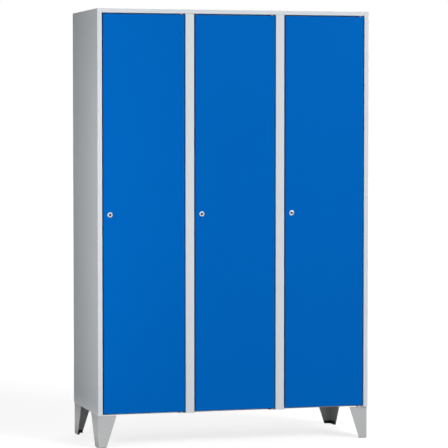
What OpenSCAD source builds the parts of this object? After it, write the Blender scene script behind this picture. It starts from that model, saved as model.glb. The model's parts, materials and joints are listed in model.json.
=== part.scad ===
// Three-bay steel locker cabinet on four sheet-metal legs.
// Millimetres. The origin is on the floor under the middle of the cabinet.
// X runs to the right, Y runs from the doors to the back, Z runs up.

/* [Cabinet] */
// Overall width
body_w = 1200; // [900:10:1500]
// Overall depth of the sheet-metal body
body_d = 500; // [400:10:600]
// Overall height, legs included
total_h = 1850; // [1600:10:2000]
// Thickness of the body and door sheet
sheet = 0.8; // [0.6:0.1:1.2]
// Inner radius of every fold
bend_r = 1.2; // [0.8:0.1:2]

/* [Front frame] */
// Width of the two outer stiles
stile_w = 20; // [18:1:30]
// Width of the two mullions between doors
mullion_w = 38; // [34:1:50]
// Height of the rail above the doors
top_rail_h = 18; // [16:1:30]
// Depth of the front frame behind its face
frame_d = 26; // [26:1:32]
// Width of the lip that a door closes against
lip_w = 10; // [9:0.5:10]

/* [Doors] */
// Thickness of a door over its folded edges
door_t = 20; // [18:1:20]
// Gap beside a door's hinges and above it
door_gap = 4; // [3:0.5:4]
// Gap beside a door's lock
lock_gap = 5; // [3:0.5:5]
// Height of a door's lower edge above the bottom of the body
door_lift = 7; // [4:0.5:8]
// Width of the flange folded inwards round the back of a door
door_flange = 18; // [17:1:22]

/* [Locks] */
// Distance of a lock from the left edge of its door opening
lock_from_edge = 33; // [32:1:40]
// Height of the locks above the floor
lock_z = 985; // [900:5:1100]
// Diameter of the visible lock head
lock_head_d = 22; // [20:1:24]

/* [Inside] */
// Height of the upper face of the hat shelf
shelf_z = 1540; // [1450:10:1600]
// Height of the middle of the coat rail
rail_z = 1478; // [1380:2:1480]
// Distance between neighbouring hooks on a coat rail
hook_pitch = 100; // [90:5:110]
// Height of the towel rail on the inside of a door
towel_z = 1290; // [1100:10:1350]

/* [Legs] */
// Height of the legs
leg_h = 137; // [100:1:200]
// Width of a leg's front or rear flange at the top
leg_front_top = 80; // [70:1:100]
// Width of a leg's front or rear flange at the floor
leg_front_foot = 36; // [30:1:50]
// Width of a leg's side flange at the top
leg_side_top = 142; // [130:1:160]
// Width of a leg's side flange at the floor
leg_side_foot = 64; // [50:1:80]
// Thickness of the leg sheet
leg_t = 1.5; // [1.2:0.1:2]

/* [Hidden] */
$fn = 48;
fold_steps = 4;                       // straight facets in one fold
eps = 0.01;                           // overshoot of a cutting tool

bays = 3;                             // side by side, each with its own door
front = -body_d / 2;
back = body_d / 2;
half_w = body_w / 2;
inner_x = half_w - sheet;             // inner face of a side panel
body_z = leg_h;
roof_z = total_h - sheet;             // lower face of the roof sheet
opening_w = (body_w - 2 * stile_w - (bays - 1) * mullion_w) / bays;
rail_under = total_h - top_rail_h;    // lower face of the top rail
stop_y = front + door_t + 2;          // face that a door closes against
frame_back = front + frame_d;
panel_y = back - 2 * sheet;           // front face of the back panel

floor_rise = 28;                      // height of the floor above the body's bottom edge
floor_z = body_z + floor_rise;
hem_w = 24;                           // inward fold along the bottom edges
rear_flange = 25;                     // inward fold along the back edges
tie_w = 14;                           // welding flange of a partition
return_w = 10;                        // inward end of a hinge-side fold

door_w = opening_w - door_gap - lock_gap;
door_z0 = body_z + door_lift;
door_z1 = rail_under - door_gap;
skin_y = front + sheet;               // inner face of a door's front sheet
door_back = front + door_t;

pivot_in = 12;                        // pivot axis from the door's hinged edge
pivot_y = front + 8;
pin_r = 3;
running_gap = 0.05;                   // radial clearance of a turning fit
bush_r = 5;
bush_flange_r = 7;
shoulder_r = 4.5;
plate_t = 2;                          // hinge plate under a door
plate_w = 27;
lip_clear = 30;                       // free stretch of the top lip at the hinged edge

lock_bore_r = 6;
lock_body_r = 9;
lock_head_t = 2.5;
lock_depth = 24;                      // back end of the lock housing behind the front face
nut_t = 5;
tail_side = 6.4;                      // square tail that carries the cam
cam_t = 2;
cam_reach = 30;
cam_w = 16;

rail_r = 7.5;                         // end radius of the oval coat rail
rail_half = 7.5;                      // half of the straight flank of the oval
rail_wall = 1.5;
collar_t = 3;                         // wall of a rail socket's collar
socket_depth = 12;
socket_plate = 1.5;
socket_rim = 8;                       // socket plate beyond the rail
hook_t = 3;
hook_w = 10;
hook_gap = 0.4;                       // clearance of a hook round its rail
hook_r = 7;                           // inner radius of the strip's bends
hook_drop = 62;                       // from the ring to the bottom of the hook
hook_throat = 24;
hook_tip = 22;

leg_fold_r = 2;                       // inner radius of a leg's fold
leg_in_x = 1.5;                       // legs stand in from the sides
leg_in_y = 6;                         // and from the front and the back
sole_t = 2;                           // glide below the leg sheet
glide_h = 13;
glide_w = 8;
bolt_r = 4;
bolt_inset = 13;                      // leg bolt from the body's side
bolt_y = [34, 104];                   // leg bolts from the front or back plane

paint_grey = [0.80, 0.82, 0.84];
paint_blue = [0.0, 0.39, 0.73];
zinc = [0.75, 0.76, 0.78];
steel = [0.62, 0.63, 0.65];
nylon = [0.90, 0.90, 0.86];
black = [0.08, 0.08, 0.09];

// ---- places that repeat from bay to bay (bay is 1, 2 or 3 from the left) ----

function opening_x(bay) = -half_w + stile_w + (bay - 1) * (opening_w + mullion_w);
function mullion_mid(bay) = opening_x(bay) + opening_w + mullion_w / 2;
function bay_left(bay) = bay == 1 ? -inner_x : mullion_mid(bay - 1) + sheet / 2;
function bay_right(bay) = bay == bays ? inner_x : mullion_mid(bay) - sheet / 2;
function bay_mid(bay) = (bay_left(bay) + bay_right(bay)) / 2;
function door_x(bay) = opening_x(bay) + lock_gap;
function pivot_x(bay) = door_x(bay) + door_w - pivot_in;
function lock_x(bay) = opening_x(bay) + lock_from_edge;

// ---- folded sheet: an outline that follows a path with rounded folds ----

function unit(v) = v / norm(v);
function left_of(v) = [-v[1], v[0]];
function turned(v, a) = [v[0] * cos(a) - v[1] * sin(a), v[0] * sin(a) + v[1] * cos(a)];
function reversed(list) = [for (i = [len(list) - 1:-1:0]) list[i]];

// One face of the sheet round the fold at b, off to the left of the path
function fold(a, b, c, off, t, r) =
    let (
        d = unit(b - a),
        e = unit(c - b),
        s = sign(cross(d, e)),
        angle = acos(d * e),
        path_r = s * t > 0 ? r + abs(t) : r,
        hub = b - d * path_r * tan(angle / 2) + s * path_r * left_of(d)
    )
    [for (k = [0:fold_steps])
        hub - s * (path_r - s * off) * turned(left_of(d), s * angle * k / fold_steps)];

function sheet_face(path, off, t, r) =
    let (n = len(path) - 1)
    concat(
        [path[0] + off * left_of(unit(path[1] - path[0]))],
        [for (i = [1:1:n - 1]) each fold(path[i - 1], path[i], path[i + 1], off, t, r)],
        [path[n] + off * left_of(unit(path[n] - path[n - 1]))]
    );

// Outline of a sheet of thickness t, to the left of the path, or to the right if t is negative
function folded(path, t = -sheet, r = bend_r) =
    concat(sheet_face(path, 0, t, r), reversed(sheet_face(path, t, t, r)));

function arc(mid, r, from, to) =
    [for (k = [0:fold_steps]) let (a = from + (to - from) * k / fold_steps)
        mid + r * [cos(a), sin(a)]];

// Oval with round ends, upright
function oval(r, half, steps = 16) =
    concat(
        [for (k = [0:steps]) [0, half] + r * [cos(180 * k / steps), sin(180 * k / steps)]],
        [for (k = [0:steps]) [0, -half] - r * [cos(180 * k / steps), sin(180 * k / steps)]]
    );

// An outline given in Y and Z, pushed along X
module along_x(x0, length) {
    translate([x0, 0, 0]) rotate([90, 0, 90]) linear_extrude(length) children();
}

// An outline given in X and Z, pushed along Y
module along_y(y0, length) {
    translate([0, y0 + length, 0]) rotate([90, 0, 0]) linear_extrude(length) children();
}

module upright(z0, z1) {
    translate([0, 0, z0]) linear_extrude(z1 - z0) children();
}

module box(low, high) {
    translate(low) cube(high - low);
}

// Round bar or disc that starts at p and runs along +Y
module rod_y(p, r, length) {
    translate(p) rotate([-90, 0, 0]) cylinder(h = length, r = r);
}

module at(x, y, z) {
    translate([x, y, z]) children();
}

// ---- body ----

// Side panel: wall, front stile and rear flange folded from one sheet
module side_sheet(stile_path) {
    stile_inner = -half_w + stile_w;
    difference() {
        upright(body_z, roof_z)
            polygon(folded(concat(stile_path, [[-half_w, back], [-half_w + rear_flange, back]])));
        box([stile_inner, front, rail_under], [stile_inner + lip_w + 1, frame_back, total_h]);
    }
    difference() {
        union() {
            box([-inner_x, frame_back, body_z], [-inner_x + hem_w, panel_y, body_z + sheet]);
            for (y = leg_bolt_ys())
                at(-half_w + bolt_inset, y, body_z + sheet - eps) cylinder(h = 5, r = 7, $fn = 6);
        }
        for (y = leg_bolt_ys())
            at(-half_w + bolt_inset, y, body_z - 1) cylinder(h = 10, r = bolt_r);
    }
}

function leg_bolt_ys() = concat([for (y = bolt_y) front + y], [for (y = bolt_y) back - y]);

module left_side_panel() {
    inner = -half_w + stile_w;
    color(paint_grey)
        side_sheet([[inner + lip_w, stop_y], [inner, stop_y], [inner, front], [-half_w, front]]);
}

module right_side_panel() {
    inner = -half_w + stile_w;
    color(paint_grey) mirror([1, 0, 0])
        side_sheet([[inner - return_w, frame_back], [inner, frame_back], [inner, front],
            [-half_w, front]]);
}

// Roof: its front edge is folded down and back to make the top rail
module roof_panel() {
    stile_inner = half_w - stile_w;
    color(paint_grey) difference() {
        union() {
            along_x(-stile_inner, 2 * stile_inner)
                polygon(folded([[stop_y + sheet, rail_under], [front, rail_under],
                    [front, total_h], [back, total_h]]));
            for (side = [-1, 1])
                box([min(side * half_w, side * stile_inner), front, roof_z],
                    [max(side * half_w, side * stile_inner), back, total_h]);
            for (bay = [1:bays])
                box([opening_x(bay) + lip_w + 1, stop_y, rail_under - lip_w],
                    [opening_x(bay) + opening_w - lip_clear, stop_y + sheet, rail_under + sheet]);
            for (side = [-1, 1])
                box([side * inner_x - (side > 0 ? sheet : 0), front + 40, roof_z - 20],
                    [side * inner_x + (side < 0 ? sheet : 0), panel_y - 4, roof_z + eps]);
        }
        for (bay = [1:bays])
            at(pivot_x(bay), pivot_y, rail_under - 1) cylinder(h = 4, r = bush_r);
    }
}

// Floor: a tray turned down at the front and the back
module floor_panel() {
    hem = 14;
    color(paint_grey) {
        along_x(-inner_x, 2 * inner_x)
            polygon(folded([[frame_back, body_z + sheet + 1], [frame_back, floor_z],
                [panel_y, floor_z], [panel_y, body_z + sheet + 1]]));
        along_x(-inner_x + hem_w + 1, 2 * (inner_x - hem_w - 1))
            polygon(folded([[frame_back + hem, body_z], [frame_back, body_z],
                [frame_back, body_z + sheet + 2]]));
    }
}

module back_panel() {
    clear = bend_r + 0.3;             // keeps the sheet's edges out of the side panels' folds
    color(paint_grey)
        box([clear - inner_x, panel_y, body_z], [inner_x - clear, back - sheet, roof_z]);
}

// Partition: its front flange is welded inside a mullion, its rear flange to the back panel
module partition(bay) {
    x = mullion_mid(bay) - sheet / 2;
    color(paint_grey) difference() {
        upright(floor_z, roof_z)
            polygon(folded([[x + tie_w, skin_y], [x, skin_y], [x, panel_y], [x + tie_w, panel_y]]));
        box([x - 1, front, rail_under], [x + tie_w + 1, frame_back + 1, roof_z + 1]);
    }
}

// Mullion: a box fold, with a stop lip for the door on its right
module mullion(bay) {
    x0 = opening_x(bay) + opening_w;
    x1 = x0 + mullion_w;
    color(paint_grey) upright(body_z, rail_under)
        polygon(folded([[x1 + lip_w, stop_y], [x1, stop_y], [x1, front], [x0, front],
            [x0, frame_back], [x0 + return_w, frame_back]]));
}

module hat_shelf(bay) {
    y0 = front + 34;
    y1 = panel_y - sheet - bend_r;    // clear of the partitions' rear flanges
    lip = 18;
    color(paint_grey) along_x(bay_left(bay), bay_right(bay) - bay_left(bay))
        polygon(folded([[y0 + 12, shelf_z - lip], [y0, shelf_z - lip], [y0, shelf_z],
            [y1, shelf_z], [y1, shelf_z - lip]]));
}

module coat_rail(bay) {
    x0 = bay_left(bay) + socket_plate;
    color(zinc) along_x(x0, bay_right(bay) - socket_plate - x0) translate([0, rail_z])
        difference() {
            polygon(oval(rail_r, rail_half));
            polygon(oval(rail_r - rail_wall, rail_half));
        }
}

// Socket on a wall at x, with a collar round one end of a coat rail, towards way
module rail_socket(x, way) {
    translate([0, 0, rail_z]) {
        along_x(way > 0 ? x : x - socket_plate, socket_plate)
            polygon(oval(rail_r + socket_rim, rail_half));
        along_x(way > 0 ? x : x - socket_depth, socket_depth) difference() {
            polygon(oval(rail_r + collar_t, rail_half));
            polygon(oval(rail_r, rail_half));
        }
    }
}

module rail_sockets() {
    color(zinc) for (bay = [1:bays]) {
        rail_socket(bay_left(bay), 1);
        rail_socket(bay_right(bay), -1);
    }
}

// ---- hinges ----

// Plate under the hinged corner of each door
module hinge_plates() {
    color(paint_grey) for (bay = [1:bays]) {
        edge = opening_x(bay) + opening_w;
        difference() {
            box([edge - plate_w, front + 2, body_z], [edge, frame_back, body_z + plate_t]);
            at(pivot_x(bay), pivot_y, body_z - 1) cylinder(h = plate_t + 2, r = bush_r);
        }
    }
}

// Flanged bush that stands at z, with its sleeve going up or down
module bush(bay, z, way, sleeve) {
    translate([pivot_x(bay), pivot_y, z]) mirror([0, 0, way < 0 ? 1 : 0]) difference() {
        union() {
            cylinder(h = 1, r = bush_flange_r);
            cylinder(h = 1 + sleeve, r = bush_r);
        }
        at(0, 0, -1) cylinder(h = sleeve + 3, r = pin_r + running_gap);
    }
}

module hinge_bushes() {
    color(nylon) for (bay = [1:bays]) {
        bush(bay, rail_under - 1, 1, 5);
        bush(bay, body_z + plate_t + 1, -1, plate_t);
    }
}

// Shouldered pin through a door's edge at z, pointing up or down
module pivot_pin(bay, z, way, shoulder, reach) {
    translate([pivot_x(bay), pivot_y, z]) mirror([0, 0, way < 0 ? 1 : 0]) {
        at(0, 0, -sheet - 4) cylinder(h = 4, r = 5);
        at(0, 0, -sheet - 1) cylinder(h = sheet + 1 + reach, r = pin_r);
        cylinder(h = shoulder, r = shoulder_r);
    }
}

module hinge_pins(bay) {
    color(steel) {
        pivot_pin(bay, door_z1, 1, door_gap - 1.3, door_gap + 6);
        pivot_pin(bay, door_z0, -1, door_lift - plate_t - 1.3, door_lift - 0.5);
    }
}

// ---- doors ----

// Outline with its two corners at v0 rounded
function tray_outline(u0, u1, v0, v1, r) =
    concat([[u0, v1]], arc([u0 + r, v0 + r], r, 180, 270), arc([u1 - r, v0 + r], r, 270, 360),
        [[u1, v1]]);

// Block whose four front edges are rounded
module tray_block(low, high, r) {
    intersection() {
        upright(low[2], high[2]) polygon(tray_outline(low[0], high[0], low[1], high[1], r));
        along_x(low[0], high[0] - low[0])
            polygon([for (p = tray_outline(low[2], high[2], low[1], high[1], r)) [p[1], p[0]]]);
    }
}

// Door: a pan with all four edges folded back and in
module door_skin(bay) {
    low = [door_x(bay), front, door_z0];
    high = [door_x(bay) + door_w, door_back, door_z1];
    in = [sheet, sheet, sheet];
    rim = [door_flange, 0, door_flange];
    color(paint_blue) difference() {
        tray_block(low, high, bend_r + sheet);
        tray_block(low + in, high - in, bend_r);
        box(low + rim + [0, door_t / 2, 0], high - rim + [0, 1, 0]);
        rod_y([lock_x(bay), front - 1, lock_z], lock_body_r, 5);
        for (z = [door_z0, door_z1])
            at(pivot_x(bay), pivot_y, z - 2) cylinder(h = 4, r = pin_r);
    }
}

// Stiffener: a hat-shaped channel down the middle of the door
module door_stiffener(bay) {
    mid = door_x(bay) + door_w / 2;
    hat = 18;
    foot = 32;
    deep = skin_y + 15;
    end = door_flange + 5;
    color(paint_blue) upright(door_z0 + end, door_z1 - end)
        polygon(folded([[mid - foot, skin_y], [mid - hat, skin_y], [mid - hat, deep],
            [mid + hat, deep], [mid + hat, skin_y], [mid + foot, skin_y]], sheet));
}

// Towel rail: a round bar bent forward at both ends and welded to the door's flanges
module towel_rail(bay) {
    wire_r = 3;
    turn_r = 10;
    stand = 30;
    half = floor(door_w / 2) - 14;
    color(zinc) translate([door_x(bay) + door_w / 2, door_back, towel_z]) {
        for (x = [-half, half]) rod_y([x, 0, 0], wire_r, stand - turn_r);
        at(turn_r - half, stand, 0) rotate([0, 90, 0])
            cylinder(h = 2 * (half - turn_r), r = wire_r);
        at(turn_r - half, stand - turn_r, 0) rotate([0, 0, 90])
            rotate_extrude(angle = 90) translate([turn_r, 0]) circle(wire_r);
        at(half - turn_r, stand - turn_r, 0)
            rotate_extrude(angle = 90) translate([turn_r, 0]) circle(wire_r);
    }
}

// Rubber discs that a door closes on
module door_buffers(bay) {
    color(black) for (z = [door_z0 + 60, lock_z + 120, door_z1 - 60])
        rod_y([door_x(bay) + 3.4, door_back, z], 3, 1.6);
}

// ---- locks ----

module lock_housing(bay) {
    color(zinc) translate([lock_x(bay), front, lock_z]) difference() {
        union() {
            rod_y([0, -lock_head_t + 0.8, 0], lock_head_d / 2, lock_head_t - 0.8);
            at(0, -lock_head_t + 0.8, 0) rotate([90, 0, 0])
                cylinder(h = 0.8, r1 = lock_head_d / 2, r2 = lock_head_d / 2 - 1);
            rod_y([0, -0.5, 0], lock_body_r, lock_depth + 0.5);
        }
        rod_y([0, -5, 0], lock_bore_r + running_gap, lock_depth + 10);
    }
}

module lock_nut(bay) {
    color(zinc) translate([lock_x(bay), skin_y, lock_z]) difference() {
        rotate([-90, 0, 0]) cylinder(h = nut_t, r = 13, $fn = 6);
        rod_y([0, -1, 0], lock_body_r, nut_t + 2);
    }
}

// Core: turns in the housing, with a key slot in front and a peened square tail behind
module lock_core(bay) {
    head_y = -lock_head_t + 0.3;
    shoulder = lock_depth + 0.5;
    color(steel) translate([lock_x(bay), front, lock_z]) difference() {
        union() {
            rod_y([0, head_y, 0], lock_bore_r, shoulder - head_y);
            box([-tail_side / 2, shoulder - eps, -tail_side / 2],
                [tail_side / 2, shoulder + cam_t + eps, tail_side / 2]);
            rod_y([0, shoulder + cam_t, 0], 5.2, 1);
        }
        box([-0.9, head_y - 1, -4], [0.9, head_y + 9, 4]);
    }
}

// Cam: hangs down when unlocked, turns left behind the stop lip to lock
module lock_cam(bay) {
    y0 = front + lock_depth + 0.5;
    color(zinc) translate([lock_x(bay), 0, lock_z]) difference() {
        union() {
            rod_y([0, y0, 0], cam_w / 2, cam_t);
            box([-cam_w / 2, y0, -cam_reach], [cam_w / 2, y0 + cam_t, 0]);
        }
        box([-tail_side / 2, y0 - 1, -tail_side / 2], [tail_side / 2, y0 + cam_t + 1, tail_side / 2]);
    }
}

// ---- coat hooks ----

// Sliding hook: one flat strip wrapped round the coat rail and bent up again below it
module coat_hook(bay, place) {
    side = rail_r + hook_gap;
    over = rail_half + side;
    tip = side - hook_throat;
    color(zinc) along_x(bay_mid(bay) + place * hook_pitch - hook_w / 2, hook_w)
        translate([0, rail_z]) polygon(folded([[side - hook_gap, -over], [-side, -over],
            [-side, over], [side, over], [side, -over - hook_drop], [tip, -over - hook_drop],
            [tip, -over - hook_drop + hook_tip]], hook_t, hook_r));
}

// ---- legs ----

// Outer corner of a leg: left or right, front or rear
module leg_place(side_x, side_y) {
    mirror([side_x > 0 ? 1 : 0, 0, 0]) mirror([0, side_y > 0 ? 1 : 0, 0])
        translate([-half_w + leg_in_x, front + leg_in_y, 0]) children();
}

// Leg: an angle of sheet that tapers towards the floor, with a folded top plate
module leg(side_x, side_y) {
    top = leg_h - sole_t;
    hole_x = bolt_inset - leg_in_x;
    color(paint_grey) leg_place(side_x, side_y) difference() {
        union() {
            intersection() {
                upright(sole_t, leg_h) polygon(folded([[leg_front_top, 0], [0, 0],
                    [0, leg_side_top]], -leg_t, leg_fold_r));
                union() {
                    translate([0, 0, sole_t]) along_y(-1, 4 + leg_t)
                        polygon([[-1, 0], [leg_front_foot, 0], [leg_front_top, top], [-1, top]]);
                    translate([0, 0, sole_t]) along_x(-1, 4 + leg_t)
                        polygon([[-1, 0], [leg_side_foot, 0], [leg_side_top, top], [-1, top]]);
                }
            }
            box([leg_t - eps, 8, leg_h - leg_t], [20, leg_side_top - 8, leg_h]);
        }
        for (y = bolt_y)
            at(hole_x, y - leg_in_y, leg_h - 5) cylinder(h = 10, r = bolt_r);
    }
}

// L-shaped outline of a glide, its outer corner rounded to fit inside a leg's fold
function glide_outline(from, r) =
    let (
        x1 = leg_front_foot - 1,
        y1 = leg_side_foot - 1,
        inner = leg_t + glide_w
    )
    concat(arc([from + r, from + r], r, 180, 270),
        [[x1, from], [x1, inner], [inner, inner], [inner, y1], [from, y1]]);

// Glide: a plastic shoe that lines the foot of a leg
module glide() {
    linear_extrude(glide_h) polygon(glide_outline(leg_t, leg_fold_r + 0.3));
    linear_extrude(sole_t) polygon(glide_outline(0.3, leg_fold_r + 1.5));
}

module foot_glides() {
    color(black) for (side_x = [-1, 1], side_y = [-1, 1]) leg_place(side_x, side_y) glide();
}

module leg_bolts() {
    color(zinc) for (side_x = [-1, 1], y = leg_bolt_ys())
        translate([side_x * (half_w - bolt_inset), y, leg_h - leg_t]) {
            at(0, 0, -5) cylinder(h = 5, r = 7, $fn = 6);
            cylinder(h = leg_t + sheet + 4.5, r = bolt_r);
        }
}

// ---- assembly ----

left_side_panel();
right_side_panel();
roof_panel();
floor_panel();
back_panel();
partition(1);  // partition_left
partition(2);  // partition_right
mullion(1);  // mullion_left
mullion(2);  // mullion_right
hat_shelf(1);  // hat_shelf_1
hat_shelf(2);  // hat_shelf_2
hat_shelf(3);  // hat_shelf_3
coat_rail(1);  // coat_rail_1
coat_rail(2);  // coat_rail_2
coat_rail(3);  // coat_rail_3
rail_sockets();
hinge_plates();
hinge_bushes();
leg(-1, -1);  // leg_front_left
leg(1, -1);  // leg_front_right
leg(-1, 1);  // leg_rear_left
leg(1, 1);  // leg_rear_right
foot_glides();
leg_bolts();
door_skin(1);  // door_skin_1
door_skin(2);  // door_skin_2
door_skin(3);  // door_skin_3
door_stiffener(1);  // door_stiffener_1
door_stiffener(2);  // door_stiffener_2
door_stiffener(3);  // door_stiffener_3
hinge_pins(1);  // hinge_pins_1
hinge_pins(2);  // hinge_pins_2
hinge_pins(3);  // hinge_pins_3
towel_rail(1);  // towel_rail_1
towel_rail(2);  // towel_rail_2
towel_rail(3);  // towel_rail_3
door_buffers(1);  // door_buffers_1
door_buffers(2);  // door_buffers_2
door_buffers(3);  // door_buffers_3
lock_housing(1);  // lock_housing_1
lock_housing(2);  // lock_housing_2
lock_housing(3);  // lock_housing_3
lock_nut(1);  // lock_nut_1
lock_nut(2);  // lock_nut_2
lock_nut(3);  // lock_nut_3
lock_core(1);  // lock_core_1
lock_core(2);  // lock_core_2
lock_core(3);  // lock_core_3
lock_cam(1);  // lock_cam_1
lock_cam(2);  // lock_cam_2
lock_cam(3);  // lock_cam_3
coat_hook(1, -1);  // coat_hook_1a
coat_hook(1, 0);  // coat_hook_1b
coat_hook(1, 1);  // coat_hook_1c
coat_hook(2, -1);  // coat_hook_2a
coat_hook(2, 0);  // coat_hook_2b
coat_hook(2, 1);  // coat_hook_2c
coat_hook(3, -1);  // coat_hook_3a
coat_hook(3, 0);  // coat_hook_3b
coat_hook(3, 1);  // coat_hook_3c
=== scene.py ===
# Looks of the three-bay steel locker cabinet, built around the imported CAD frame. Units are metres.
import json
import math

import bmesh
import bpy
from mathutils import Matrix, Vector


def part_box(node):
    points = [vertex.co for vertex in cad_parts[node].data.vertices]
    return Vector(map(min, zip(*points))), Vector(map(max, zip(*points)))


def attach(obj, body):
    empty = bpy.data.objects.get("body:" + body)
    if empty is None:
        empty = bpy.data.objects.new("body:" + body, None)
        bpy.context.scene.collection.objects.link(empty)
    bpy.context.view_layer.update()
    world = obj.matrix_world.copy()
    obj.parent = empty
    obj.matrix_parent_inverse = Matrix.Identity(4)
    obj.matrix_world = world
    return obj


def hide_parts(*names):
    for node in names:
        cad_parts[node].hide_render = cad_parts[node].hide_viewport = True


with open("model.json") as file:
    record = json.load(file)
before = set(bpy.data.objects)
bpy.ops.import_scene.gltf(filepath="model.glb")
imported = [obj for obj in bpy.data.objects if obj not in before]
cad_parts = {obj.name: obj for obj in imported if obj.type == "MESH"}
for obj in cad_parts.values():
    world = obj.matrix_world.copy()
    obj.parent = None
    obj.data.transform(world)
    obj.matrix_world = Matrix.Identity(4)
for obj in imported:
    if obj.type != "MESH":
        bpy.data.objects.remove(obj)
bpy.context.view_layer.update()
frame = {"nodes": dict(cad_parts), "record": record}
nodes = frame["nodes"]
BAYS = (1, 2, 3)
MM = 0.001
UM = 0.000001

# ---- camera ----

CAMERA_AT = (-2.610, -9.389, 1.390)
CAMERA_PITCH = -2.71                  # degrees above the horizon
CAMERA_YAW = 15.65                    # degrees to the right of +Y
CAMERA_LENS = 179.2                   # millimetres


def make_camera():
    data = bpy.data.cameras.new("camera")
    data.lens = CAMERA_LENS
    data.clip_end = 100
    camera = bpy.data.objects.new("camera", data)
    camera.location = CAMERA_AT
    camera.rotation_euler = (math.radians(90 + CAMERA_PITCH), 0, math.radians(-CAMERA_YAW))
    bpy.context.scene.collection.objects.link(camera)
    bpy.context.scene.camera = camera


# ---- node trees ----


class Tree:
    """A node tree, with short calls for adding and joining nodes."""

    def __init__(self, tree):
        self.tree = tree

    def add(self, kind, inputs=None, **settings):
        """Adds a node. inputs maps a socket's name or number to a value, or to a socket to link."""
        node = self.tree.nodes.new(kind)
        for key, value in settings.items():
            setattr(node, key, value)
        for key, value in (inputs or {}).items():
            self.put(node.inputs[key], value)
        return node

    def put(self, socket, value):
        if isinstance(value, bpy.types.NodeSocket):
            self.tree.links.new(value, socket)
        else:
            socket.default_value = value


class Material(Tree):
    """A material whose patterns are laid out in the object's own space, in metres."""

    def __init__(self, name):
        self.material = bpy.data.materials.new(name)
        self.material.use_nodes = True
        super().__init__(self.material.node_tree)
        self.surface = self.tree.nodes["Principled BSDF"]
        self.place = self.add("ShaderNodeTexCoord").outputs["Object"]

    def set(self, **values):
        """Sets or links the surface shader's sockets; an underscore stands for a space."""
        for key, value in values.items():
            self.put(self.surface.inputs[key.replace("_", " ")], value)

    def noise(self, scale, detail=2.0, stretch=(1, 1, 1)):
        """Noise with scale features per metre, as a factor around one half."""
        where = self.add("ShaderNodeMapping", {"Vector": self.place, "Scale": stretch}).outputs[0]
        inputs = {"Vector": where, "Scale": scale, "Detail": detail}
        return self.add("ShaderNodeTexNoise", inputs).outputs["Fac"]

    def spread(self, factor, low, high):
        """Maps a noise factor's usual span, 0.3 to 0.7, to low to high."""
        inputs = {"Value": factor, "From Min": 0.3, "From Max": 0.7, "To Min": low, "To Max": high}
        return self.add("ShaderNodeMapRange", inputs).outputs[0]

    def mixed(self, factor, colour_a, colour_b):
        node = self.add("ShaderNodeMix", data_type="RGBA")
        self.put(node.inputs[0], factor)
        for socket, colour in ((node.inputs[6], colour_a), (node.inputs[7], colour_b)):
            self.put(socket, colour if isinstance(colour, bpy.types.NodeSocket) else (*colour, 1))
        return node.outputs[2]

    def shades(self, colour, amount, scale):
        """A colour that drifts lighter and darker by amount over 1 / scale metres."""
        dark = [c * (1 - amount) for c in colour]
        light = [min(1, c * (1 + amount)) for c in colour]
        return self.mixed(self.spread(self.noise(scale), 0, 1), dark, light)

    def bumps(self, *layers):
        """Bump layers, coarse to fine, each a height factor with its depth in metres."""
        normal = None
        for height, depth in layers:
            inputs = {"Height": height, "Distance": depth, "Strength": 1.0}
            if normal is not None:
                inputs["Normal"] = normal
            normal = self.add("ShaderNodeBump", inputs).outputs[0]
        self.set(Normal=normal)


# ---- materials ----


def powder_coat(name, colour, roughness, specular, sheen_tint=(1, 1, 1), drift=0.012):
    """Baked powder coat on sheet steel: orange peel, a faint drift of shade, a slight waviness."""
    m = Material(name)
    m.set(Base_Color=m.shades(colour, drift, 2.2), Specular_IOR_Level=specular,
          Specular_Tint=(*sheen_tint, 1))
    m.set(Roughness=m.spread(m.noise(35), roughness - 0.04, roughness + 0.04))
    wavy_sheet, orange_peel, grain = m.noise(5, 1), m.noise(420, 1), m.noise(1500, 1)
    m.bumps((wavy_sheet, 1.2 * MM), (orange_peel, 30 * UM), (grain, 12 * UM))
    return m.material


def zinc_plate(name, colour):
    """Bright zinc plate: soft cloudy shade and the draw lines of the strip below it."""
    m = Material(name)
    m.set(Metallic=1.0, Base_Color=m.shades(colour, 0.08, 90))
    lines = m.noise(60, 3, stretch=(1, 40, 40))
    m.set(Roughness=m.spread(lines, 0.24, 0.36))
    crystals = m.noise(900)
    m.bumps((lines, 10 * UM), (crystals, 6 * UM))
    return m.material


def turned_steel(name, colour):
    """Plain turned steel, with tool rings round the upright axis."""
    m = Material(name)
    m.set(Metallic=1.0, Base_Color=m.shades(colour, 0.06, 200))
    rings = m.noise(50, 2, stretch=(0.2, 0.2, 60))
    m.set(Roughness=m.spread(rings, 0.26, 0.40))
    m.bumps((rings, 8 * UM))
    return m.material


def nickel_plate(name, colour):
    """Nickel plate with fine wiping marks, dulled a little by use."""
    m = Material(name)
    m.set(Metallic=1.0, Base_Color=m.shades(colour, 0.04, 300))
    marks = m.noise(400, 4, stretch=(1, 1, 12))
    m.set(Roughness=m.spread(marks, 0.26, 0.38))
    m.bumps((marks, 3 * UM))
    return m.material


def moulded(name, colour, roughness, grain):
    """Moulded plastic or rubber with a fine spark-eroded grain, grain features per metre."""
    m = Material(name)
    m.set(Base_Color=m.shades(colour, 0.10, 60), Specular_IOR_Level=0.4)
    m.set(Roughness=m.spread(m.noise(120), roughness - 0.06, roughness + 0.06))
    m.bumps((m.noise(grain, 1), 40 * UM))
    return m.material


BODY_GREY = (0.635, 0.665, 0.690)
# the body's grey paint made darker for the legs: painted shade for the dimmer light near the floor
LEG_GREY_SHADED = (0.480, 0.488, 0.490)
DOOR_BLUE = (0.000, 0.1175, 0.466)

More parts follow.
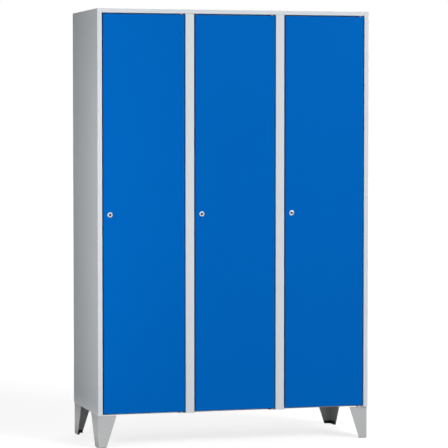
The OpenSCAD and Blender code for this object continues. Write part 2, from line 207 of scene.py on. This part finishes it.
PAINTS = {
    "body_paint": powder_coat("body_paint", BODY_GREY, 0.42, 0.25),
    "leg_paint": powder_coat("leg_paint", LEG_GREY_SHADED, 0.45, 0.25),
    "door_paint": powder_coat("door_paint", DOOR_BLUE, 0.48, 0.20, (0.02, 0.35, 1.0)),
    "zinc_plate": zinc_plate("zinc_plate", (0.66, 0.67, 0.69)),
    "pin_steel": turned_steel("pin_steel", (0.48, 0.48, 0.49)),
    "lock_chrome": nickel_plate("lock_chrome", (0.78, 0.79, 0.80)),
    "bush_nylon": moulded("bush_nylon", (0.78, 0.77, 0.72), 0.45, 900),
    "glide_plastic": moulded("glide_plastic", (0.022, 0.022, 0.024), 0.52, 700),
    "buffer_rubber": moulded("buffer_rubber", (0.030, 0.030, 0.031), 0.70, 1200),
}

# ---- CAD nodes: smooth folds and small broken edges ----

WELD_DISTANCE = 2e-6
FLAT_ANGLE = 0.5                      # degrees up to which faces count as one flat
EDGE_ANGLE = 40                       # degrees from which an edge is broken


def smooth_weld():
    """Geometry nodes that join the faces of an imported part and shade it smooth."""
    group = bpy.data.node_groups.new("smooth_weld", "GeometryNodeTree")
    for way in ("INPUT", "OUTPUT"):
        group.interface.new_socket("Geometry", in_out=way, socket_type="NodeSocketGeometry")
    t = Tree(group)
    start = t.add("NodeGroupInput").outputs[0]
    welded = t.add("GeometryNodeMergeByDistance", {"Geometry": start, "Distance": WELD_DISTANCE})
    smooth = t.add("GeometryNodeSetShadeSmooth", {"Geometry": welded.outputs[0]})
    t.add("NodeGroupOutput", {0: smooth.outputs[0]})
    return group


def finish_node(obj, group, edge):
    """Rounds a part's sharp edges by edge metres, and leaves its mesh as it is."""
    obj.modifiers.new("weld", "NODES").node_group = group
    plain = obj.modifiers.new("plain", "DECIMATE")
    plain.decimate_type = "DISSOLVE"
    plain.angle_limit = math.radians(FLAT_ANGLE)
    bevel = obj.modifiers.new("edges", "BEVEL")
    bevel.width = edge
    bevel.segments = 2
    bevel.limit_method = "ANGLE"
    bevel.angle_limit = math.radians(EDGE_ANGLE)
    bevel.harden_normals = True
    bevel.use_clamp_overlap = True
    normals = obj.modifiers.new("normals", "WEIGHTED_NORMAL")
    normals.weight = 80
    normals.keep_sharp = True


EDGE_SIZES = {                        # bevel widths of each slot's parts
    "body_paint": 0.22 * MM, "leg_paint": 0.4 * MM, "door_paint": 0.22 * MM,
    "zinc_plate": 0.3 * MM, "pin_steel": 0.3 * MM, "lock_chrome": 0.2 * MM,
    "bush_nylon": 0.25 * MM, "glide_plastic": 0.8 * MM, "buffer_rubber": 0.4 * MM,
}


def dress_cad_nodes():
    group = smooth_weld()
    for part in frame["record"]["subparts"]:
        obj = nodes[part["node"]]
        slot = part["material_slot"]
        obj.data.materials.clear()
        obj.data.materials.append(PAINTS[slot])
        finish_node(obj, group, EDGE_SIZES[slot])


# ---- turned pieces ----

JOIN_DISTANCE = 1e-6
SMOOTH_ANGLE = 32                     # degrees up to which an edge is shaded smooth
HEX_SECTOR = 60                       # degrees that one side of a hexagon takes


def turned_mesh(bm, profile, at, turn, across_flats=None, steps=64):
    """Adds a ring-shaped or solid turned piece to bm, from (radius, height) pairs that run round
    its section. Its axis is local Z, moved by turn and at. across_flats cuts a hexagon from it."""
    rings = []
    for radius, height in profile:
        ring = []
        for k in range(steps):
            angle = 2 * math.pi * k / steps
            r = radius
            if across_flats:
                off_flat = math.radians((math.degrees(angle) % HEX_SECTOR) - HEX_SECTOR / 2)
                r = min(r, across_flats / 2 / math.cos(off_flat))
            co = turn @ Vector((r * math.cos(angle), r * math.sin(angle), height)) + at
            ring.append(bm.verts.new(co))
        rings.append(ring)
    for low, high in zip(rings, rings[1:] + rings[:1]):
        for k in range(steps):
            j = (k + 1) % steps
            bm.faces.new((low[k], low[j], high[j], high[k]))


def as_object(bm, name, material, body, replaced):
    """Makes bm a shown piece that rides on a body and stands for CAD nodes."""
    bmesh.ops.remove_doubles(bm, verts=bm.verts, dist=JOIN_DISTANCE)
    bmesh.ops.recalc_face_normals(bm, faces=bm.faces)
    for face in bm.faces:
        face.smooth = True
    for edge in bm.edges:
        edge.smooth = (len(edge.link_faces) == 2
                       and edge.calc_face_angle() < math.radians(SMOOTH_ANGLE))
    mesh = bpy.data.meshes.new(name)
    bm.to_mesh(mesh)
    bm.free()
    mesh.materials.append(material)
    obj = bpy.data.objects.new(name, mesh)
    bpy.context.scene.collection.objects.link(obj)
    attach(obj, body)
    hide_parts(*replaced)


def threads(radius, depth, start, end, pitch):
    """Profile points of a thread's rings, from height start up to end."""
    points = []
    for k in range(int((end - start) / pitch)):
        crest = start + (k + 0.25) * pitch
        root = start + (k + 0.75) * pitch
        points += [(radius, crest), (radius - depth, root)]
    return points


TO_BACK = Matrix.Rotation(math.radians(-90), 3, "X")
UPRIGHT = Matrix.Identity(3)


def lock_centre(bay):
    """Middle of a lock's head, in the plane of the doors' front faces."""
    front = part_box(f"door_skin_{bay}")[0].y
    low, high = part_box(f"lock_housing_{bay}")
    return Vector(((low.x + high.x) / 2, front, (low.z + high.z) / 2))


HEAD_R = 11 * MM                      # visible head of the lock
HEAD_T = 2.5 * MM
RIM_R = 1.3 * MM                      # rounding of the head's rim
GROOVE = (7.6 * MM, 8.9 * MM)         # shallow ring groove in the head
GROOVE_FACE = -2.2 * MM
BARREL_R = 9 * MM
BARREL_END = 24 * MM
BARREL_THREAD = (1.2 * MM, 23.2 * MM)
BORE_R = 6.05 * MM


def housing_profile():
    """Lock housing: a rounded bezel round a shallow ring groove, and a threaded barrel."""
    rim_at = HEAD_R - RIM_R
    head = [(BORE_R, BARREL_END), (BORE_R, -1.9 * MM), (6.5 * MM, -2.35 * MM)]
    head += [(GROOVE[0], -HEAD_T), (GROOVE[0] + 0.4 * MM, GROOVE_FACE)]
    head += [(GROOVE[1] - 0.4 * MM, GROOVE_FACE), (GROOVE[1], -HEAD_T), (rim_at, -HEAD_T)]
    for k in range(1, 7):
        angle = math.radians(15 * k)
        head.append((rim_at + RIM_R * math.sin(angle), RIM_R - HEAD_T - RIM_R * math.cos(angle)))
    head += [(HEAD_R, -0.15 * MM), (HEAD_R - 0.2 * MM, 0), (BARREL_R, 0)]
    head += [(BARREL_R, BARREL_THREAD[0])]
    barrel = threads(BARREL_R, 0.45 * MM, *BARREL_THREAD, 1.0 * MM)
    return head + barrel + [(BARREL_R - 0.6 * MM, BARREL_END)]


def make_lock_housing(bay):
    bm = bmesh.new()
    turned_mesh(bm, housing_profile(), lock_centre(bay), TO_BACK, steps=96)
    as_object(bm, f"lock_bezel_{bay}", PAINTS["lock_chrome"], f"door_{bay}",
              [f"lock_housing_{bay}"])


def box_mesh(bm, low, high, at):
    """Adds a box to bm, from corner low to corner high, both moved by at."""
    corners = [Vector((x, y, z)) + at for x in (low[0], high[0]) for y in (low[1], high[1])
               for z in (low[2], high[2])]
    v = [bm.verts.new(c) for c in corners]
    for face in ((0, 1, 3, 2), (4, 6, 7, 5), (0, 4, 5, 1),
                 (2, 3, 7, 6), (0, 2, 6, 4), (1, 5, 7, 3)):
        bm.faces.new([v[i] for i in face])


def cut(bm, tool):
    """bm with tool taken away from it."""
    objects = []
    for mesh_source, name in ((bm, "blank"), (tool, "tool")):
        bmesh.ops.recalc_face_normals(mesh_source, faces=mesh_source.faces)
        mesh = bpy.data.meshes.new(name)
        mesh_source.to_mesh(mesh)
        mesh_source.free()
        objects.append(bpy.data.objects.new(name, mesh))
        bpy.context.scene.collection.objects.link(objects[-1])
    blank, cutter = objects
    change = blank.modifiers.new("cut", "BOOLEAN")
    change.operation = "DIFFERENCE"
    change.solver = "EXACT"
    change.object = cutter
    bpy.context.view_layer.update()
    evaluated = blank.evaluated_get(bpy.context.evaluated_depsgraph_get())
    result = bmesh.new()
    result.from_mesh(evaluated.to_mesh())
    evaluated.to_mesh_clear()
    for obj in objects:
        mesh = obj.data
        bpy.data.objects.remove(obj)
        bpy.data.meshes.remove(mesh)
    return result


CORE_R = 6.0 * MM
CORE_FACE = -2.2 * MM
SHUTTER_R = 5.1 * MM                  # recess in the core's face that holds the shutter
SHUTTER_FACE = -1.0 * MM
SHUTTER_BACK = 1.5 * MM
SHUTTER_GAP = 0.05 * MM               # round the shutter, and twice that behind it
CORE_SLOT = (0.9 * MM, 4 * MM)        # half width and half height of a key slot
SHUTTER_SLOT = (0.8 * MM, 3.3 * MM)
SLOT_FRONT = -3 * MM
SLOT_BACK = 6.8 * MM
TAIL_FROM = 24.5 * MM                 # square tail that carries the cam
TAIL_TO = 26.5 * MM
TAIL_HALF = 3.2 * MM
PEEN_R = 5.2 * MM                     # peened end that holds the cam on


def key_slot(centre, half_width, half_height):
    """Block that cuts a key slot."""
    slot = bmesh.new()
    box_mesh(slot, (-half_width, SLOT_FRONT, -half_height), (half_width, SLOT_BACK, half_height),
             centre)
    return slot


def turned_blank(profile, centre):
    """A turned blank along +Y, solid to its axis and ready to be cut."""
    blank = bmesh.new()
    turned_mesh(blank, profile, centre, TO_BACK, steps=96)
    bmesh.ops.remove_doubles(blank, verts=blank.verts, dist=JOIN_DISTANCE)
    bmesh.ops.dissolve_degenerate(blank, edges=blank.edges, dist=JOIN_DISTANCE / 10)
    return blank


def make_lock_core(bay):
    """Lock core: a plug with a chamfered rim, and a square tail with a peened end."""
    centre = lock_centre(bay)
    profile = [(0.0, SHUTTER_BACK), (SHUTTER_R, SHUTTER_BACK), (SHUTTER_R, -1.9 * MM),
               (5.3 * MM, CORE_FACE), (5.75 * MM, CORE_FACE), (CORE_R, -1.95 * MM),
               (CORE_R, TAIL_FROM), (0.0, TAIL_FROM)]
    bm = cut(turned_blank(profile, centre), key_slot(centre, *CORE_SLOT))
    box_mesh(bm, (-TAIL_HALF, TAIL_FROM, -TAIL_HALF), (TAIL_HALF, TAIL_TO, TAIL_HALF), centre)
    peened = [(0.0, TAIL_TO), (PEEN_R, TAIL_TO), (PEEN_R - 0.1 * MM, TAIL_TO + 0.4 * MM),
              (4.0 * MM, TAIL_TO + 0.85 * MM), (2.0 * MM, TAIL_TO + 1.0 * MM),
              (0.0, TAIL_TO + 0.95 * MM)]
    turned_mesh(bm, peened, centre, TO_BACK, steps=48)
    as_object(bm, f"lock_plug_{bay}", PAINTS["lock_chrome"], f"lock_{bay}",
              [f"lock_core_{bay}"])


def make_lock_shade_insert(bay):
    """Black shutter set back in the core's face, with the slit that the key goes through; its black
    is painted shade for the lock's shaded keyway.
    """
    centre = lock_centre(bay)
    rim, back = SHUTTER_R - SHUTTER_GAP, SHUTTER_BACK - 2 * SHUTTER_GAP
    profile = [(0.0, SHUTTER_FACE + 0.45 * MM), (1.6 * MM, SHUTTER_FACE + 0.4 * MM),
               (3.6 * MM, SHUTTER_FACE), (rim, SHUTTER_FACE), (rim, back), (0.0, back)]
    bm = cut(turned_blank(profile, centre), key_slot(centre, *SHUTTER_SLOT))
    as_object(bm, f"lock_shade_insert_{bay}", PAINTS["glide_plastic"], f"lock_{bay}",
              [f"lock_core_{bay}"])


HEX_CHAMFER_REACH = 1.9               # inwards, for each unit of its height


def hex_profile(bore, corner_r, height, chamfer):
    """Section of a hexagon nut or head whose corners are chamfered at both faces."""
    face_r = corner_r - chamfer * HEX_CHAMFER_REACH
    return [(bore, 0), (face_r, 0), (corner_r, chamfer), (corner_r, height - chamfer),
            (face_r, height), (bore, height)]


def make_lock_nut(bay):
    """Hexagon nut that holds a lock's housing from inside the door."""
    low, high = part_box(f"lock_nut_{bay}")
    centre = lock_centre(bay)
    centre.y = low.y
    corner_r = (high.x - low.x) / 2
    bm = bmesh.new()
    turned_mesh(bm, hex_profile(BARREL_R, corner_r, high.y - low.y, 0.7 * MM), centre, TO_BACK,
                across_flats=corner_r * math.sqrt(3), steps=96)
    as_object(bm, f"lock_hex_nut_{bay}", PAINTS["zinc_plate"], f"door_{bay}",
              [f"lock_nut_{bay}"])


BOLT_R = 4 * MM
BOLT_PITCH = 1.25 * MM
BOLT_NECK = 1.6 * MM                  # plain shank below the thread
BOLT_SUNK = 0.5 * MM                  # how far the shank starts inside the head
BOLT_TIP = 0.3 * MM                   # and ends past its last thread
BOLT_HEAD_R = 7 * MM
BOLT_HEAD_T = 5 * MM
BOLT_SPACING = 70 * MM                # between the two bolts of a leg


def make_leg_bolts():
    """Hexagon bolts that hold the legs, their heads below the legs' top plates."""
    low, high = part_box("leg_bolts")
    bm = bmesh.new()
    thread = threads(BOLT_R, 0.5 * MM, BOLT_NECK, high.z - low.z - BOLT_HEAD_T, BOLT_PITCH)
    for x in (low.x + BOLT_HEAD_R, high.x - BOLT_HEAD_R):
        for y in bolt_rows(low, high):
            face = Vector((x, y, low.z))
            turned_mesh(bm, hex_profile(0.0, BOLT_HEAD_R, BOLT_HEAD_T, 0.5 * MM), face, UPRIGHT,
                        across_flats=BOLT_HEAD_R * math.sqrt(3), steps=60)
            top = face + Vector((0, 0, BOLT_HEAD_T))
            shank = [(0.0, -BOLT_SUNK), (BOLT_R, -BOLT_SUNK), (BOLT_R, BOLT_NECK)] + thread
            turned_mesh(bm, shank + [(0.0, thread[-1][1] + BOLT_TIP)], top, UPRIGHT, steps=40)
    as_object(bm, "leg_bolt_set", PAINTS["zinc_plate"], "carcass", ["leg_bolts"])


def bolt_rows(low, high):
    """Y of the four bolts on one side."""
    front = low.y + BOLT_HEAD_R * math.sqrt(3) / 2
    back = high.y - BOLT_HEAD_R * math.sqrt(3) / 2
    return front, front + BOLT_SPACING, back - BOLT_SPACING, back


# ---- light and floor ----

SKY = 0.12                            # strength of the world as light
SKY_IN_GLOSS = 0.35                   # and as seen in reflections
FLOOR_LIFT = (0.78, 1.0)              # glow of the floor near the object, and far from it
FLOOR_FADE = (2.5, 8.0)               # metres from the middle over which it changes
FLOOR_GREY = (0.30, 0.30, 0.30)
FLOOR_HALF = 40.0
OVERHEAD_STRENGTH = 0.25
OVERHEAD_ANGLE = 70                   # degrees across, for soft shadows
# name, place, aim, size, watts, and the angle of the beam in degrees
AREA_LIGHTS = (
    ("key", (4.5, -6.9, 6.1), (0, -0.2, 1.0), (4.5, 4.5), 830, 180),
    ("front_fill", (0.8, -3.2, 0.3), (0.25, -0.25, 0.25), (1.6, 0.4), 10, 180),
    ("back", (1.6, 4.5, 3.0), (0.2, 0.25, 1.0), (2.6, 2.6), 110, 180),
    ("side", (-1.5, -0.75, 1.0), (-0.6, -0.1, 1.0), (0.4, 2.0), 10.6, 180),
    ("leg_side", (-2.2, -0.02, 0.07), (-0.6, -0.02, 0.07), (0.6, 0.10), 0.085, 6),
)


def make_world():
    """Even pale light all round, with a white background behind the object."""
    world = bpy.data.worlds.new("studio")
    world.use_nodes = True
    bpy.context.scene.world = world
    t = Tree(world.node_tree)
    path = t.add("ShaderNodeLightPath")
    gloss = t.add("ShaderNodeMapRange",
                  {"Value": path.outputs["Is Glossy Ray"], "To Min": SKY, "To Max": SKY_IN_GLOSS})
    strength = t.add("ShaderNodeMapRange", {"Value": path.outputs["Is Camera Ray"],
                                            "To Min": gloss.outputs[0], "To Max": 1.0})
    background = world.node_tree.nodes["Background"]
    background.inputs["Color"].default_value = (1, 1, 1, 1)
    t.put(background.inputs["Strength"], strength.outputs[0])


def area_light(name, at, target, size, watts, spread):
    """A soft rectangular light. spread is the angle of its beam in degrees."""
    data = bpy.data.lights.new(name, "AREA")
    data.shape = "RECTANGLE"
    data.size, data.size_y = size
    data.energy = watts
    data.spread = math.radians(spread)
    light = bpy.data.objects.new(name, data)
    light.location = at
    direction = Vector(target) - Vector(at)
    light.rotation_euler = direction.to_track_quat("-Z", "Y").to_euler()
    light.visible_camera = False
    bpy.context.scene.collection.objects.link(light)


def overhead_light(strength):
    """A wide, even light from straight above."""
    data = bpy.data.lights.new("overhead", "SUN")
    data.energy = strength
    data.angle = math.radians(OVERHEAD_ANGLE)
    light = bpy.data.objects.new("overhead", data)
    bpy.context.scene.collection.objects.link(light)


def make_lights():
    for name, place, aim, size, watts, spread in AREA_LIGHTS:
        area_light(name, place, aim, size, watts, spread)
    overhead_light(OVERHEAD_STRENGTH)


def make_floor():
    """Pale plain floor, lifted a little for the camera so that it fades into the background."""
    m = Material("floor")
    m.set(Base_Color=m.shades(FLOOR_GREY, 0.01, 0.8), Roughness=0.9,
          Specular_IOR_Level=0.0, Emission_Color=(1, 1, 1, 1))
    seen = m.add("ShaderNodeLightPath").outputs["Is Camera Ray"]
    away = m.add("ShaderNodeVectorMath", {0: m.place}, operation="LENGTH").outputs["Value"]
    glow = m.add("ShaderNodeMapRange",
                 {"Value": away, "From Min": FLOOR_FADE[0], "From Max": FLOOR_FADE[1],
                  "To Min": FLOOR_LIFT[0], "To Max": FLOOR_LIFT[1]}).outputs[0]
    lift = m.add("ShaderNodeMapRange", {"Value": seen, "To Min": 0.0, "To Max": glow})
    m.set(Emission_Strength=lift.outputs[0])
    mesh = bpy.data.meshes.new("floor")
    side = FLOOR_HALF
    mesh.from_pydata([(-side, -side, 0), (side, -side, 0), (side, side, 0), (-side, side, 0)],
                     [], [(0, 1, 2, 3)])
    mesh.materials.append(m.material)
    floor = bpy.data.objects.new("floor", mesh)
    bpy.context.scene.collection.objects.link(floor)


make_camera()
bpy.context.scene.view_settings.view_transform = "Standard"
make_world()
make_lights()
make_floor()
dress_cad_nodes()
for bay in BAYS:
    make_lock_housing(bay)
    make_lock_core(bay)
    make_lock_shade_insert(bay)
    make_lock_nut(bay)
make_leg_bolts()
